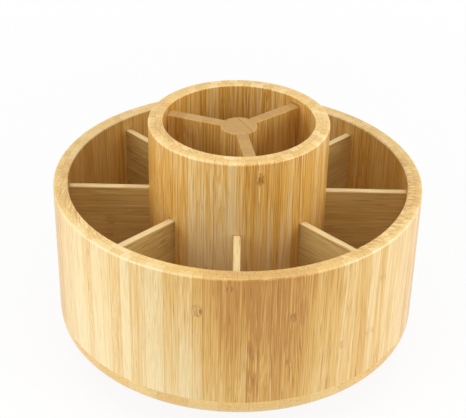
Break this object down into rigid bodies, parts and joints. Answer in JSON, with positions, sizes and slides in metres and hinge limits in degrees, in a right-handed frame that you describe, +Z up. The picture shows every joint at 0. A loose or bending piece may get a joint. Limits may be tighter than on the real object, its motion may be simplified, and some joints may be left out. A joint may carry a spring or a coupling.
{
  "type": "rotating pen holder",
  "caption": "Round bamboo desk organizer: a low drum of wedge-shaped compartments round a taller divided inner drum, turning on a ball-bearing turntable with rubber feet.",
  "frame": {"origin": "on the table, under the middle of the drum, at the underside of the rubber feet", "axes": "+Z up along the turning axis; +X and +Y lie along outer dividers; the picture looks along +Y"},
  "size_m": [0.254, 0.254, 0.175],
  "materials": {
    "bamboo_outer_drum": "satin varnish over vertical bamboo strips",
    "bamboo_inner_drum": "satin varnish over vertical bamboo strips",
    "bamboo_board": "matt sanded bamboo board",
    "bamboo_divider": "matt sanded pale bamboo",
    "bamboo_inner_divider": "matt sanded bamboo",
    "bamboo_post": "matt turned bamboo",
    "zinc_plated_steel": "pressed sheet steel, bright zinc plate",
    "zinc_plated_screws": "bright zinc plate",
    "bearing_steel": "polished",
    "nylon": "moulded, natural white",
    "rubber": "matt black"
  },
  "bodies": {
    "base": {"base_disc": "bamboo_board", "turntable_lower_plate": "zinc_plated_steel", "lower_plate_screws": "zinc_plated_screws", "rubber_foot_1": "rubber", "rubber_foot_2": "rubber", "rubber_foot_3": "rubber", "rubber_foot_4": "rubber"},
    "drum": {"outer_drum_wall": "bamboo_outer_drum", "drum_floor": "bamboo_board", "inner_drum_wall": "bamboo_inner_drum", "hub_post": "bamboo_post", "turntable_upper_plate": "zinc_plated_steel", "upper_plate_screws": "zinc_plated_screws", "outer_divider_1": "bamboo_divider", "outer_divider_2": "bamboo_divider", "outer_divider_3": "bamboo_divider", "outer_divider_4": "bamboo_divider", "outer_divider_5": "bamboo_divider", "outer_divider_6": "bamboo_divider", "outer_divider_7": "bamboo_divider", "outer_divider_8": "bamboo_divider", "inner_divider_1": "bamboo_inner_divider", "inner_divider_2": "bamboo_inner_divider", "inner_divider_3": "bamboo_inner_divider"},
    "ball_ring": {"turntable_balls": "bearing_steel", "turntable_ball_cage": "nylon"}
  },
  "joints": [
    {"name": "drum_spin", "type": "hinge", "parent": "base", "child": "drum", "pos_m": [0, 0, 0.016], "axis": [0, 0, 1], "continuous": true},
    {"name": "ball_ring_roll", "type": "hinge", "parent": "base", "child": "ball_ring", "pos_m": [0, 0, 0.016], "axis": [0, 0, 1], "continuous": true}
  ],
  "couplings": [
    {"joint": "ball_ring_roll", "follows": "drum_spin", "ratio": 0.5}
  ]
}
